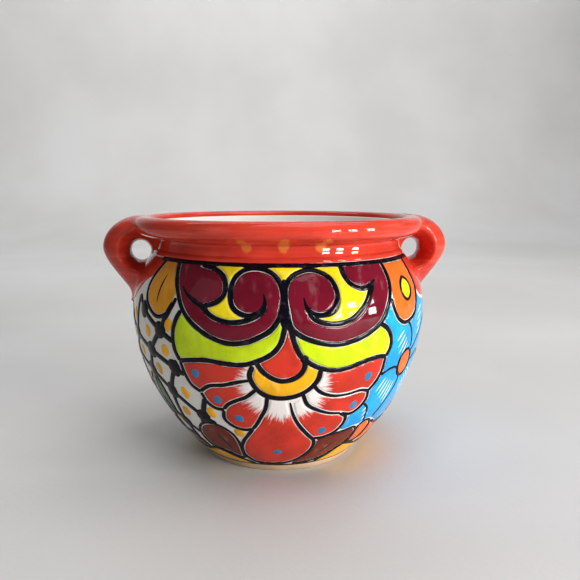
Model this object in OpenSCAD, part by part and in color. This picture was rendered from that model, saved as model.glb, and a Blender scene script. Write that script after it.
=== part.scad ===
// Glazed pottery planter with a rolled collar and two strap handles.
// The origin is on the table under the middle of the pot, +Z is up and the handles lie along X.

/* [Bowl] */
// Diameter of the belly at its widest
belly_d = 181; // [150:1:230]
// Height of the widest part above the table
belly_z = 92; // [75:1:120]
// Height of the shoulder, from the widest part up to the neck
shoulder_h = 35; // [26:1:50]
// Diameter of the neck, where the shoulder meets the collar
neck_d = 154; // [126:1:172]
// Diameter of the bowl's underside, on the foot ring
base_d = 100.5; // [80:1:125]
// Thickness of the clay wall
wall = 7.5; // [5:0.5:10]
// Thickness of the floor
floor_t = 8; // [5:0.5:14]
// Diameter of the flat part of the floor inside
floor_d = 66; // [40:1:76]

/* [Foot ring] */
// Diameter of the ring where it stands on the table
foot_d = 97; // [76:1:120]
// Height of the ring
foot_h = 4; // [2:0.5:8]
// Width of the ring's standing face
foot_w = 9; // [5:0.5:14]

/* [Collar] */
// Height of the collar, from the neck to the crest of the lip
collar_h = 21; // [17:1:32]
// Diameter over the flared lip
lip_d = 177.6; // [160:1:215]
// Radius of the lip's rolled edge
lip_round = 5.2; // [4:0.1:6]
// Width of the lip, from its outer edge to the mouth
lip_w = 11; // [9:0.5:14]
// Thickness of the clay where the throat opens out into the lip
flare_t = 4.2; // [3:0.1:6]
// How far the throat draws in from the neck
throat_in = 1.8; // [0:0.1:5]

/* [Handles] */
// How far a handle stands out past the lip
handle_reach = 19; // [14:0.5:26]
// Distance from the crest of the lip down to a handle's widest reach
handle_drop = 19; // [15:0.5:24]
// Distance from the crest of the lip down to the tip of a handle's tail
tail_drop = 55; // [44:1:66]
// Width of a handle where it joins the pot
handle_w = 44; // [28:1:56]
// Width of the tip of a handle's tail
tail_w = 4; // [2:0.5:16]
// Diameter of the hole through a handle, at its narrowest
eye_d = 12; // [8:0.5:16]
// How far the hole widens towards its two ends
eye_flare = 6; // [2:0.5:8]
// Distance from the neck's surface to the hole's middle
eye_out = 8.2; // [6.5:0.1:12]
// Distance from the crest of the lip down to the hole's middle
eye_drop = 21.2; // [17:0.2:26]

/* [Glaze] */
// Width of the raised black band round the neck
band_w = 2.6; // [2:0.2:6]
// Height that the band stands proud of the clay
band_t = 0.6; // [0.4:0.1:1.2]
// Angle from the front middle to the band's end on the left
band_left = 61; // [40:1:75]
// Angle from the front middle to the band's end on the right
band_right = 69; // [40:1:75]
// Thickness of the white glaze inside the pot
lining_t = 0.8; // [0.4:0.1:1.5]
// Distance from the crest of the lip down to the edge of the white glaze
lining_drop = 3.8; // [2.5:0.1:7]

/* [Hidden] */

CLAY = "#c98f62";
RED = "#d2371f";
BLACK = "#14141a";
WHITE = "#f3f1ec";

$fn = 128;
STEPS = 14; // straight pieces in each curve of a profile
LEVELS = 14; // levels in a handle's lower part, and in its upper part
SIDES = 24; // straight pieces round one level of a handle
EDGE = 7.5; // height over which a handle's top rounds over

belly_r = belly_d / 2;
neck_r = neck_d / 2;
base_r = base_d / 2;
lip_r = lip_d / 2;
neck_z = belly_z + shoulder_h;
rim_z = neck_z + collar_h;
floor_z = foot_h + floor_t;
mouth_r = lip_r - lip_w;

// A cubic curve from a to d, with b and c as its handles
function curve_at(a, b, c, d, t) =
    a * pow(1 - t, 3) + b * 3 * t * pow(1 - t, 2) + c * 3 * t * t * (1 - t) + d * pow(t, 3);
function curve(a, b, c, d, n = STEPS) = [for (i = [0:n]) curve_at(a, b, c, d, i / n)];
function drop_first(points) = [for (i = [1:len(points) - 1]) points[i]];
function reversed(points) = [for (i = [len(points) - 1:-1:0]) points[i]];

// Profiles are lists of [radius, height], from the lowest point to the highest

// Outside of the bowl: a full flank up to the belly, then a round shoulder in to the neck
flank_pull = 18.5;
outer_flank = curve([base_r, foot_h], [base_r + flank_pull, foot_h + flank_pull],
                    [belly_r, belly_z * 0.58], [belly_r, belly_z]);
outer_shoulder = curve([belly_r, belly_z], [belly_r, belly_z + shoulder_h * 0.4],
                       [neck_r + shoulder_h * 0.28, neck_z - shoulder_h * 0.32], [neck_r, neck_z]);
bowl_outside = concat(outer_flank, drop_first(outer_shoulder));

// Inside of the bowl: a flat floor that turns up into the wall
inner_belly_r = belly_r - wall;
inner_neck_r = neck_r - wall;
inner_flank = curve([floor_d / 2, floor_z], [floor_d / 2 + 25, floor_z],
                    [inner_belly_r, belly_z * 0.55], [inner_belly_r, belly_z], 20);
inner_shoulder = curve([inner_belly_r, belly_z], [inner_belly_r, belly_z + shoulder_h * 0.36],
                       [inner_neck_r + shoulder_h * 0.22, neck_z - shoulder_h * 0.3],
                       [inner_neck_r, neck_z]);
bowl_inside = concat(inner_flank, drop_first(inner_shoulder));

// The collar: a hollow throat, a flared lip with a rolled edge, and a dished mouth
round_r = lip_r - lip_round;
round_z = rim_z - lip_round;
throat_r = neck_r - throat_in;
FLARE_ANGLE = 55; // angle under the middle of the roll at which the throat runs into it
flare_end = [round_r, round_z] + lip_round * [cos(FLARE_ANGLE), -sin(FLARE_ANGLE)];
throat_z = neck_z + (flare_end[1] - neck_z) * 0.6;
flare_pull = (flare_end[0] - throat_r) * 0.5;
THROAT_STEPS = 6; // straight pieces in the throat's lower half
throat_outside = concat(
    curve([neck_r, neck_z], [neck_r - throat_in * 0.7, neck_z + collar_h * 0.08],
          [throat_r, throat_z - collar_h * 0.12], [throat_r, throat_z], THROAT_STEPS),
    drop_first(curve([throat_r, throat_z], [throat_r, throat_z + (flare_end[1] - throat_z) * 0.6],
                     flare_end - flare_pull * [sin(FLARE_ANGLE), cos(FLARE_ANGLE)], flare_end, 12)));
lip_outside = concat(
    throat_outside,
    [for (a = [-40:15:80]) [round_r + lip_round * cos(a), round_z + lip_round * sin(a)]],
    [[round_r, rim_z]]);
mouth_z = rim_z - lining_drop;
lip_inside = curve([mouth_r, mouth_z], [mouth_r + (round_r - mouth_r) * 0.1, rim_z - lining_drop * 0.3],
                   [mouth_r + (round_r - mouth_r) * 0.3, rim_z], [round_r, rim_z], 8);

// A point drawn in from a profile's point, square to the profile there
function drawn_in(profile, i, depth) =
    let (run = profile[i + 1] - profile[i - 1])
    profile[i] + depth * [-run[1], run[0]] / norm(run);

// A point of the throat's inside, as far in as the clay is thick there
function throat_inside_at(i) =
    drawn_in(throat_outside, i, wall + (flare_t - wall) * min(1, i / THROAT_STEPS));
throat_inside = concat(
    [[inner_neck_r, neck_z]],
    [for (i = [1:len(throat_outside) - 2])
        let (p = throat_inside_at(i))
        if (p[1] > neck_z + 1 && p[1] < mouth_z - 1 && p[0] < mouth_r - 1) p],
    [[mouth_r, mouth_z]]);

// Radius of the bowl's outside at a height
function bowl_r_at(z) = lookup(z, [for (p = bowl_outside) [p[1], p[0]]]);

// Closes a profile onto the axis, as a solid of revolution
module turned(profile) {
    low = profile[0][1];
    high = profile[len(profile) - 1][1];
    rotate_extrude() polygon(concat([[0, low]], profile, [[0, high]]));
}

// Everything inside the pot's outer skin
module pot_body() {
    turned(bowl_outside);
    turned(lip_outside);
}

module bowl() {
    color(CLAY)
    difference() {
        turned(bowl_outside);
        turned(concat(bowl_inside, [[inner_neck_r, neck_z + 1]]));
    }
}

module foot_ring() {
    inner_r = foot_d / 2 - foot_w;
    color(CLAY)
    rotate_extrude()
    polygon([[inner_r, 0], [foot_d / 2, 0], [base_r, foot_h], [inner_r - 2, foot_h]]);
}

module collar() {
    color(RED)
    rotate_extrude()
    polygon(concat(lip_outside, drop_first(reversed(lip_inside)), drop_first(reversed(throat_inside))));
}

// A handle's outline in the XZ plane, from the tip of its tail out to its reach and in to the crest
reach_x = lip_r + handle_reach;
reach_z = rim_z - handle_drop;
tail_z = rim_z - tail_drop;
tail_x = bowl_r_at(tail_z);
root_x = neck_r - 12;
handle_outline = concat(
    curve([tail_x - 1, tail_z], [tail_x + 2, tail_z + tail_drop * 0.2],
          [reach_x, reach_z - handle_drop * 0.5], [reach_x, reach_z], LEVELS),
    drop_first(curve([reach_x, reach_z], [reach_x, reach_z + handle_drop * 0.5],
                     [lip_r + 9, rim_z + 0.6], [round_r, rim_z + 0.3], LEVELS)));

// Half of a handle's width at a height: full at the reach, rounded in to the crest and the tail
function half_width(z) =
    let (over = max(0, z - rim_z + EDGE) / (EDGE + 0.8),
         up = min(1, (z - tail_z) / (reach_z - tail_z)))
    max(tail_w / 2, handle_w / 2 * pow(sin(90 * up), 0.6)) * sqrt(1 - over * over);

// One level of a handle: a blunt oval that grows out of the pot's axis side
function level(i) =
    let (tip = handle_outline[i], half = half_width(tip[1]))
    [for (k = [0:SIDES])
        let (a = 180 * k / SIDES - 90)
        [root_x + (tip[0] - root_x) * pow(cos(a), 0.8), half * sign(a) * pow(abs(sin(a)), 0.8), tip[1]]];

module ear() {
    count = len(handle_outline);
    row = SIDES + 1;
    skin = [for (i = [0:count - 2], k = [0:SIDES])
        let (a = i * row + k, b = i * row + (k + 1) % row)
        [a, a + row, b + row, b]];
    ends = [[for (k = [0:SIDES]) k], [for (k = [SIDES:-1:0]) (count - 1) * row + k]];
    polyhedron([for (i = [0:count - 1]) each level(i)], concat(skin, ends));
}

// The hole runs along Y, narrow in the middle and wide at both ends
module eye() {
    half_length = handle_w / 2;
    side = [for (i = [-6:6]) [eye_d / 2 + eye_flare * pow(i / 6, 2) * 1.6, i / 6 * half_length]];
    translate([neck_r + eye_out, 0, rim_z - eye_drop])
    rotate([90, 0, 0])
    rotate_extrude() polygon(concat([[0, -half_length]], side, [[0, half_length]]));
}

// A handle stops where it meets the pot's skin, and leaves the mouth clear
module handle() {
    difference() {
        ear();
        eye();
        pot_body();
        translate([0, 0, rim_z - lip_round]) cylinder(r = round_r, h = 2 * lip_round);
    }
}

module left_handle() {
    color(RED)
    mirror([1, 0, 0])
    handle();
}

module right_handle() {
    color(RED)
    handle();
}

// The black band runs just under the seam between bowl and collar, and breaks off beside the handles
module neck_band() {
    low = [bowl_r_at(neck_z - band_w), neck_z - band_w];
    backing = concat([low], [for (p = bowl_outside) if (p[1] > low[1] + 0.2) p]);
    color(BLACK)
    for (side = [0, 180])
    rotate([0, 0, side - 90 - band_left])
    rotate_extrude(angle = band_left + band_right)
    polygon(concat(backing, reversed([for (p = backing) p + [band_t, band_t * 0.5]])));
}

// The white glaze lines the floor, the wall and the throat, up to an edge under the lip
module lining() {
    outside = concat(bowl_inside, drop_first(throat_inside));
    inside = concat(
        [for (p = bowl_inside) p[1] < belly_z
            ? p + lining_t * [-(p[1] - floor_z) / (belly_z - floor_z), 1 - (p[1] - floor_z) / (belly_z - floor_z)]
            : p - [lining_t, 0]],
        [for (i = [1:len(throat_inside) - 2]) drawn_in(throat_inside, i, lining_t)],
        [[mouth_r - lining_t, mouth_z]]);
    color(WHITE)
    rotate_extrude()
    polygon(concat([[0, floor_z]], outside, reversed(inside), [[0, floor_z + lining_t]]));
}

bowl();
foot_ring();
collar();
left_handle();
right_handle();
neck_band();
lining();
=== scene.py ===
"""Builds the looks of a hand-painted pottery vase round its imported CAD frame.

Heights and lengths are in millimetres inside the script, and angles in degrees from the painted
front's middle, positive towards the right handle. Meshes are made in metres.
"""
from math import cos, pi, radians, sin

import bpy
import numpy as np
from bpy.props import FloatProperty, FloatVectorProperty, IntProperty, PointerProperty
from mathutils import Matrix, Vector


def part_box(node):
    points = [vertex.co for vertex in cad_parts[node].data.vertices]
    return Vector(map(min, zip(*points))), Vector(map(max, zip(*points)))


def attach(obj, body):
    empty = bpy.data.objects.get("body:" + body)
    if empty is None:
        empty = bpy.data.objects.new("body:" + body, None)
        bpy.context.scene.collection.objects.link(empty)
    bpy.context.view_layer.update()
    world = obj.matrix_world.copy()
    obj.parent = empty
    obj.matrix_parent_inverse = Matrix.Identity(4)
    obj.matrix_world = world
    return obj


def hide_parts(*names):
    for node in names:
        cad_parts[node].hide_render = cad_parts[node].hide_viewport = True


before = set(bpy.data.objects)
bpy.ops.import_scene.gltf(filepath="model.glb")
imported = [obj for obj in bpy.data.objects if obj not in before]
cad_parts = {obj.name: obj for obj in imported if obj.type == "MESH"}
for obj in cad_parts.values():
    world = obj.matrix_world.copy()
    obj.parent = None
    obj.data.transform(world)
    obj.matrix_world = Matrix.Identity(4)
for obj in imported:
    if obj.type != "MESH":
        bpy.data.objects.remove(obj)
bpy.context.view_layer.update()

bl_info = {
    "name": "Painted Pottery Vase",
    "version": (1, 0, 0),
    "blender": (4, 5, 0),
    "location": "View3D > Sidebar > Vase",
    "description": "Throws, glazes and paints a two-handled pottery vase",
    "category": "Object",
}

MM = 0.001
STEPS = 8  # steps between two points of a painted line
SUNK = -0.3  # where a coat's hidden side lies, under the pot's skin
FAR = 1e9


def cad(node, corner, axis):
    """One side of a CAD node's box, in millimetres: corner 0 is the lowest and 1 the highest."""
    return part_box(node)[corner][axis] / MM


# The pot's driving sizes, as the frame has them
BELLY_R = cad("bowl", 1, 0)
BASE_Z = cad("bowl", 0, 2)
NECK_Z = cad("bowl", 1, 2)
BASE_R = cad("foot_ring", 1, 0)
RIM_Z = cad("collar", 1, 2)
LIP_R = cad("collar", 1, 0)
FLOOR_Z = cad("lining", 0, 2)
INNER_R = cad("lining", 1, 0)
MOUTH_Z = cad("lining", 1, 2)
REACH_X = cad("right_handle", 1, 0)
TAIL_Z = cad("right_handle", 0, 2)
WALL = BELLY_R - INNER_R
# No node's box ends at these, so they are given here as the part has them
SHOULDER = 35.0
BELLY_Z = NECK_Z - SHOULDER
COLLAR = RIM_Z - NECK_Z
NECK_R = 77.0
ROUND = 5.2
MOUTH_R = LIP_R - 11.0
FLOOR_R = 33


# ---------------------------------------------------------------- curves and profiles

def bezier(a, b, c, d, steps=24):
    """Points along a cubic curve from a to d, with b and c as its handles."""
    t = np.linspace(0, 1, steps + 1)[:, None]
    a, b, c, d = (np.array(p, float) for p in (a, b, c, d))
    return a * (1 - t) ** 3 + 3 * b * t * (1 - t) ** 2 + 3 * c * t * t * (1 - t) + d * t ** 3


def spline(points, steps=STEPS):
    """A smooth curve through all its points, with the same number of steps between each pair."""
    p = np.array(points, float)
    p = np.vstack([2 * p[0] - p[1], p, 2 * p[-1] - p[-2]])
    gaps = np.maximum(np.linalg.norm(np.diff(p[:, :2], axis=0), axis=1), 1e-6) ** 0.5
    out = []
    for i in range(1, len(p) - 2):
        a, b, c = gaps[i - 1], gaps[i], gaps[i + 1]
        leave = b * ((p[i] - p[i - 1]) / a - (p[i + 1] - p[i - 1]) / (a + b)) + (p[i + 1] - p[i])
        reach = b * ((p[i + 2] - p[i + 1]) / c - (p[i + 2] - p[i]) / (b + c)) + (p[i + 1] - p[i])
        t = np.linspace(0, 1, steps, endpoint=False)[:, None]
        out.append(p[i] * (2 * t ** 3 - 3 * t ** 2 + 1) + leave * (t ** 3 - 2 * t ** 2 + t)
                   + p[i + 1] * (3 * t ** 2 - 2 * t ** 3) + reach * (t ** 3 - t ** 2))
    return np.vstack(out + [p[-2:-1]])


def join(*parts):
    """Joins profiles end to start, without the doubled points."""
    return np.vstack([parts[0]] + [part[1:] for part in parts[1:]])


FLANK_PULL = 18.5
BOWL_OUTSIDE = join(
    bezier([BASE_R, BASE_Z], [BASE_R + FLANK_PULL, BASE_Z + FLANK_PULL],
           [BELLY_R, BELLY_Z * 0.58], [BELLY_R, BELLY_Z], 60),
    bezier([BELLY_R, BELLY_Z], [BELLY_R, BELLY_Z + SHOULDER * 0.4],
           [NECK_R + SHOULDER * 0.28, NECK_Z - SHOULDER * 0.32], [NECK_R, NECK_Z], 40))
BOWL_INSIDE = join(
    bezier([FLOOR_R, FLOOR_Z], [58, FLOOR_Z], [INNER_R, BELLY_Z * 0.55], [INNER_R, BELLY_Z], 60),
    bezier([INNER_R, BELLY_Z], [INNER_R, BELLY_Z + SHOULDER * 0.36],
           [NECK_R - WALL + SHOULDER * 0.22, NECK_Z - SHOULDER * 0.3], [NECK_R - WALL, NECK_Z], 40))
LIP_MIDDLE = np.array([LIP_R - ROUND, RIM_Z - ROUND])
FLARE = radians(55)
FLARE_END = LIP_MIDDLE + ROUND * np.array([cos(FLARE), -sin(FLARE)])
THROAT = [NECK_R - 1.8, NECK_Z + (FLARE_END[1] - NECK_Z) * 0.6]
THROAT_OUTSIDE = join(
    bezier([NECK_R, NECK_Z], [NECK_R - 1.26, NECK_Z + COLLAR * 0.08],
           [THROAT[0], THROAT[1] - COLLAR * 0.12], THROAT, 16),
    bezier(THROAT, [THROAT[0], THROAT[1] + 2.8], FLARE_END - 5.7 * np.array([sin(FLARE), cos(FLARE)]),
           FLARE_END, 24))
LIP_ARC = np.array([LIP_MIDDLE + ROUND * np.array([cos(a), sin(a)])
                    for a in np.linspace(-FLARE, pi / 2, 27)])
LIP_INSIDE = bezier([LIP_R - ROUND, RIM_Z], [MOUTH_R + 1.7, RIM_Z],
                    [MOUTH_R + 0.6, RIM_Z - 1.1], [MOUTH_R, MOUTH_Z], 20)
THROAT_INSIDE = spline([[NECK_R - WALL, NECK_Z], [70.2, 131.5], [71.5, 136.2], [75.2, 139.7],
                        [MOUTH_R, MOUTH_Z]], 10)
POT_OUTSIDE = join(BOWL_OUTSIDE, THROAT_OUTSIDE, LIP_ARC)


def arc_lengths(profile):
    """How far along a profile each of its points is."""
    return np.concatenate([[0], np.cumsum(np.linalg.norm(np.diff(profile, axis=0), axis=1))])


ARC = arc_lengths(BOWL_OUTSIDE)
SLOPES = np.gradient(BOWL_OUTSIDE, ARC, axis=0)
DEG = pi / 180


def wobble(angle, z):
    """The unevenness of a hand-thrown wall, in millimetres."""
    a = np.asarray(angle) * DEG
    level = np.clip((np.asarray(z) - BASE_Z) / 30, 0, 1)
    return level * (0.22 * np.sin(2 * a + 0.7) + 0.12 * np.sin(3 * a + z * 0.03)
                    + 0.05 * np.sin(7 * a - z * 0.05 + 1.3))


def skin(angle, arc, lift):
    """Points on the bowl's outside, at an angle and a distance up its profile, lifted off it."""
    r = np.interp(arc, ARC, BOWL_OUTSIDE[:, 0])
    z = np.interp(arc, ARC, BOWL_OUTSIDE[:, 1])
    out_r = np.interp(arc, ARC, SLOPES[:, 1])
    out_z = -np.interp(arc, ARC, SLOPES[:, 0])
    r = r + out_r * lift + wobble(angle, z)
    a = np.asarray(angle) * DEG
    return np.stack([r * np.sin(a), -r * np.cos(a), z + out_z * lift], -1) * MM


def mm_per_degree(arc):
    return np.interp(arc, ARC, BOWL_OUTSIDE[:, 0]) * DEG


def to_arc(points):
    """Turns painted points, given as angle and height, into angle and distance up the profile."""
    out = np.array(points, float)
    out[:, 1] = np.interp(out[:, 1], BOWL_OUTSIDE[:, 1], ARC)
    return out


# ---------------------------------------------------------------- meshes

def make_mesh(name, points, faces, key, stroke=None):
    """Makes one piece in one glaze, smooth shaded, that rides on the pot's body."""
    mesh = bpy.data.meshes.new(name)
    mesh.from_pydata(np.asarray(points).tolist(), [], [list(map(int, face)) for face in faces])
    mesh.validate()
    mesh.update()
    if stroke is not None:
        mesh.attributes.new("stroke", "FLOAT_VECTOR", "POINT").data.foreach_set(
            "vector", np.asarray(stroke, np.float32).ravel())
    mesh.shade_smooth()
    mesh.materials.append(finish_for(key))
    piece = bpy.data.objects.new(name, mesh)
    bpy.context.scene.collection.objects.link(piece)
    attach(piece, "root")
    return piece


def lathe(name, profile, key, wobbled=True):
    """Turns a closed profile about the pot's axis. A profile that starts on the axis ends on it."""
    sides = bpy.context.scene.vase_sizes.sides
    profile = np.asarray(profile, float)
    angles = np.arange(sides) * 360 / sides
    rings = []
    for r, z in profile:
        reach = r + (wobble(angles, min(z, RIM_Z)) if wobbled and r > 0 else 0)
        reach = np.broadcast_to(reach, angles.shape)
        rings.append(np.stack([reach * np.sin(angles * DEG), -reach * np.cos(angles * DEG),
                               np.full(sides, z)], -1))
    points = np.vstack(rings) * MM
    count = len(profile)
    closed = profile[0][0] > 0
    faces = []
    for i in range(count if closed else count - 1):
        low, high = i * sides, (i + 1) % count * sides
        for k in range(sides):
            n = (k + 1) % sides
            faces.append([low + k, low + n, high + n, high + k])
    if not closed:
        # The rings on the axis become one point each
        first, last = 0, (count - 1) * sides
        faces = [[p if p >= sides else first for p in face] for face in faces]
        faces = [[p if p < last else last for p in face] for face in faces]
        faces = [list(dict.fromkeys(face)) for face in faces]
        keep = [first] + list(range(sides, last)) + [last]
        place = {p: i for i, p in enumerate(keep)}
        points = points[keep]
        faces = [[place[p] for p in face] for face in faces]
    return make_mesh(name, points, faces, key)


def ring_faces(rings, row, first=0):
    """The faces between rings of points, each ring closed on itself."""
    faces = []
    for i in range(rings - 1):
        low, high = first + i * row, first + (i + 1) * row
        for k in range(row):
            n = (k + 1) % row
            faces.append([low + k, high + k, high + n, low + n])
    return faces


def waver(a, b, seed, size=1.0):
    """Smooth unevenness of a hand, between -1 and 1, over two lengths in millimetres."""
    rng = np.random.default_rng(seed)
    total = 0
    for step in range(4):
        turn, shift = rng.uniform(0, 2 * pi, 2)
        pull = (0.22 + 0.17 * step) / size
        total = total + np.sin(pull * (a * cos(turn) + b * sin(turn)) + shift)
    return total / 4


def bead_mesh(path, width, height, seed):
    """A trailed line of raised glaze along a path, with round ends. The path is angle, arc, width share."""
    steps = np.stack([np.diff(path[:, 0]) * mm_per_degree(path[:-1, 1]), np.diff(path[:, 1])], -1)
    run = np.concatenate([[0], np.cumsum(np.linalg.norm(steps, axis=1))])
    length = run[-1]
    count = max(8, int(length / 0.7))
    turn = np.linspace(0, pi, 5)[1:-1]
    start = width / 2 * (1 - np.cos(turn / 2))
    at = np.unique(np.concatenate([[0, 0.05], start, np.linspace(width / 2, length - width / 2, count),
                                   length - start, [length - 0.05, length]]))
    at = at[(at >= 0) & (at <= length)]
    angle, arc, share = (np.interp(at, run, path[:, k]) for k in range(3))
    size = width * share
    near_end = np.minimum(at, length - at) / np.maximum(size / 2, 0.3)
    size = size * np.sqrt(np.clip(1 - (1 - np.clip(near_end, 0, 1)) ** 2, 0.004, 1))
    size = size * (1 + 0.07 * waver(at, at * 0.6, seed, 0.7))
    along = np.stack([np.gradient(angle, at) * mm_per_degree(arc), np.gradient(arc, at)], -1)
    along /= np.maximum(np.linalg.norm(along, axis=1), 1e-6)[:, None]
    rim = np.concatenate([np.linspace(0, pi, 11), [pi * 1.35, pi * 1.65]])
    across = np.cos(rim)[None, :] * size[:, None] / 2
    lift = np.where(rim[None, :] <= pi, np.sin(rim)[None, :] ** 0.8 * height
                    * (size / width)[:, None] ** 0.4, SUNK) - 0.02
    points_a = angle[:, None] - across * along[:, 1:] / mm_per_degree(arc)[:, None]
    points_s = np.clip(arc[:, None] + across * along[:, :1], 0, ARC[-1])
    points = skin(points_a, points_s, lift).reshape(-1, 3)
    rings, row = len(at), len(rim)
    faces = ring_faces(rings, row)
    faces.append(list(range(row)))
    faces.append([(rings - 1) * row + k for k in range(row - 1, -1, -1)])
    return points, faces


def dome_mesh(angle, z, half_width, half_height, lift, seed):
    """A round dab of glaze, flat on the pot and domed over."""
    centre = to_arc([(angle, z)])[0]
    share = np.concatenate([[0], np.sin(np.linspace(0, pi / 2, 9)[1:])])
    spokes = 32
    turn = np.arange(spokes) * 2 * pi / spokes
    uneven = 1 + 0.06 * np.sin(2 * turn + seed) + 0.04 * np.sin(3 * turn + 2 * seed)
    points = [skin(centre[0], centre[1], lift)[None, :]]
    for s in share[1:]:
        a = centre[0] + np.cos(turn) * uneven * s * half_width / mm_per_degree(centre[1])
        h = np.clip(centre[1] + np.sin(turn) * uneven * s * half_height, 0, ARC[-1])
        points.append(skin(a, h, lift * (1 - s * s) ** 0.5 - 0.03))
    points.append(skin(a, h, SUNK))
    faces = [[0, 1 + k, 1 + (k + 1) % spokes] for k in range(spokes)]
    rows = len(points) - 1
    faces += ring_faces(rows, spokes, 1)
    faces.append([1 + (rows - 1) * spokes + k for k in range(spokes - 1, -1, -1)])
    return np.vstack(points), faces


def merge(parts):
    """Joins several meshes, each points and faces, into one."""
    points, faces, count = [], [], 0
    for part_points, part_faces in parts:
        points.append(part_points)
        faces += [[p + count for p in face] for face in part_faces]
        count += len(part_points)
    return np.vstack(points), faces


def edge_distance(a, s, outline):
    """Distance to an outline in millimetres, negative inside it."""
    near = np.full(a.shape, FAR)
    inside = np.zeros(a.shape, bool)
    scale = mm_per_degree(s)
    ends = np.roll(outline, -1, axis=0)
    for (a0, s0), (a1, s1) in zip(outline, ends):
        run_a, run_s = (a1 - a0) * scale, s1 - s0
        to_a, to_s = (a - a0) * scale, s - s0
        square = run_a * run_a + run_s * run_s
        t = np.clip((to_a * run_a + to_s * run_s) / np.maximum(square, 1e-9), 0, 1)
        near = np.minimum(near, (to_a - t * run_a) ** 2 + (to_s - t * run_s) ** 2)
        if s0 != s1:
            crossing = (s0 > s) != (s1 > s)
            inside ^= crossing & (a < a0 + (s - s0) * (a1 - a0) / (s1 - s0))
    return np.where(inside, -1, 1) * np.sqrt(near)


def coat_mesh(outline, inset, thick, seed, step, uneven):
    """A thin coat of glaze inside an outline, drawn back from it by an inset that wavers."""
    edge = 0.9  # how far in from its edge the coat reaches its full thickness
    low, high = outline.min(0), outline.max(0)
    wide = (high[0] - low[0]) * mm_per_degree(high[1] / 2 + low[1] / 2)
    a_line = np.linspace(low[0], high[0], int(wide / step) + 2)
    s_line = np.linspace(max(low[1], 0), high[1], int((high[1] - low[1]) / step) + 2)
    a, s = np.meshgrid(a_line, s_line, indexing="ij")

    def field(at_a, at_s):
        push = waver(at_a * mm_per_degree(at_s), at_s, seed, 1.3)
        return edge_distance(at_a, at_s, outline) + inset + uneven * push

    f = field(a, s)
    keep = (f[:-1, :-1] + f[1:, :-1] + f[:-1, 1:] + f[1:, 1:]) < 0
    number = np.arange(a.size).reshape(a.shape)
    quads = np.stack([number[:-1, :-1], number[1:, :-1], number[1:, 1:], number[:-1, 1:]], -1)[keep]
    used = np.unique(quads)
    sides = np.concatenate([quads[:, [k, (k + 1) % 4]] for k in range(4)])
    codes = sides[:, 0].astype(np.int64) * a.size + sides[:, 1]
    back = sides[:, 1].astype(np.int64) * a.size + sides[:, 0]
    border = sides[~np.isin(codes, back)]
    rim = np.unique(border)
    grad_a, grad_s = np.gradient(f, a_line, s_line)
    at_a, at_s, value = a.ravel().copy(), s.ravel().copy(), f.ravel().copy()
    for _ in range(3):
        ga = grad_a.ravel()[rim] / mm_per_degree(at_s[rim])
        gs = grad_s.ravel()[rim]
        size = np.maximum(ga * ga + gs * gs, 0.25)
        move = np.clip(value[rim], -step, step)
        at_a[rim] -= move * ga / size / mm_per_degree(at_s[rim])
        at_s[rim] = np.clip(at_s[rim] - move * gs / size, 0, ARC[-1])
        value[rim] = field(at_a[rim], at_s[rim])
    t = np.clip(-value / edge, 0, 1)
    lift = thick * np.sqrt(t * (2 - t))
    lift[rim] = -0.06
    place = np.full(a.size, -1)
    place[used] = np.arange(len(used))
    top = skin(at_a[used], at_s[used], lift[used])
    under = skin(at_a[used], at_s[used], np.full(len(used), SUNK))
    quads, border = place[quads], place[border]
    walls = np.stack([border[:, 1], border[:, 0], border[:, 0] + len(used),
                      border[:, 1] + len(used)], -1)
    faces = np.vstack([quads, quads[:, ::-1] + len(used), walls])
    where = np.stack([at_a[used], at_s[used], -value[used]], -1)
    return np.vstack([top, under]), faces, np.vstack([where, where])


def surface_net(field, lows, highs, step):
    """The smooth surface where a field over a box of space is zero. Sizes are in millimetres."""
    axes = [np.arange(lo, hi + step, step) for lo, hi in zip(lows, highs)]
    grid = np.meshgrid(*axes, indexing="ij")
    f = field(*grid)
    inside = f < 0
    shape = tuple(n - 1 for n in f.shape)
    total, hits = np.zeros(shape + (3,)), np.zeros(shape)
    spots = np.stack(grid, -1)
    corners = [(i, j, k) for i in (0, 1) for j in (0, 1) for k in (0, 1)]

    def part(array, corner):
        return array[tuple(slice(c, c + n) for c, n in zip(corner, shape))]

    for p in corners:
        for q in corners:
            if sum(q) == sum(p) + 1 and all(b >= a for a, b in zip(p, q)):
                fp, fq = part(f, p), part(f, q)
                cross = part(inside, p) != part(inside, q)
                t = np.where(cross, fp / np.where(cross, fp - fq, 1), 0)[..., None]
                total += cross[..., None] * (part(spots, p) * (1 - t) + part(spots, q) * t)
                hits += cross
    used = hits > 0
    index = np.full(shape, -1)
    index[used] = np.arange(used.sum())
    points = total[used] / hits[used][:, None]
    faces = []
    for axis in range(3):
        b, c = (axis + 1) % 3, (axis + 2) % 3
        first = [slice(None)] * 3
        second = [slice(None)] * 3
        first[axis], second[axis] = slice(0, -1), slice(1, None)
        one, two = inside[tuple(first)], inside[tuple(second)]
        cross = np.argwhere(one != two)
        cross = cross[(cross[:, b] > 0) & (cross[:, c] > 0)
                      & (cross[:, b] < shape[b]) & (cross[:, c] < shape[c])]
        around = []
        for shift_b, shift_c in ((0, 0), (1, 0), (1, 1), (0, 1)):
            cell = cross.copy()
            cell[:, b] -= shift_b
            cell[:, c] -= shift_c
            around.append(index[tuple(cell.T)])
        quads = np.stack(around, -1)
        flip = one[tuple(cross.T)]
        faces.append(np.where(flip[:, None], quads, quads[:, ::-1]))
    faces = np.vstack(faces)
    small = step * 0.2
    for _ in range(4):
        value = field(*points.T)
        slope = np.stack([(field(*(points + small * unit).T) - field(*(points - small * unit).T))
                          / (2 * small) for unit in np.eye(3)], -1)
        size = np.maximum((slope ** 2).sum(1), 0.1)
        points = points - np.clip(value / size, -step, step)[:, None] * slope * 0.8
    return points, faces


# ---------------------------------------------------------------- shaders

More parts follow.
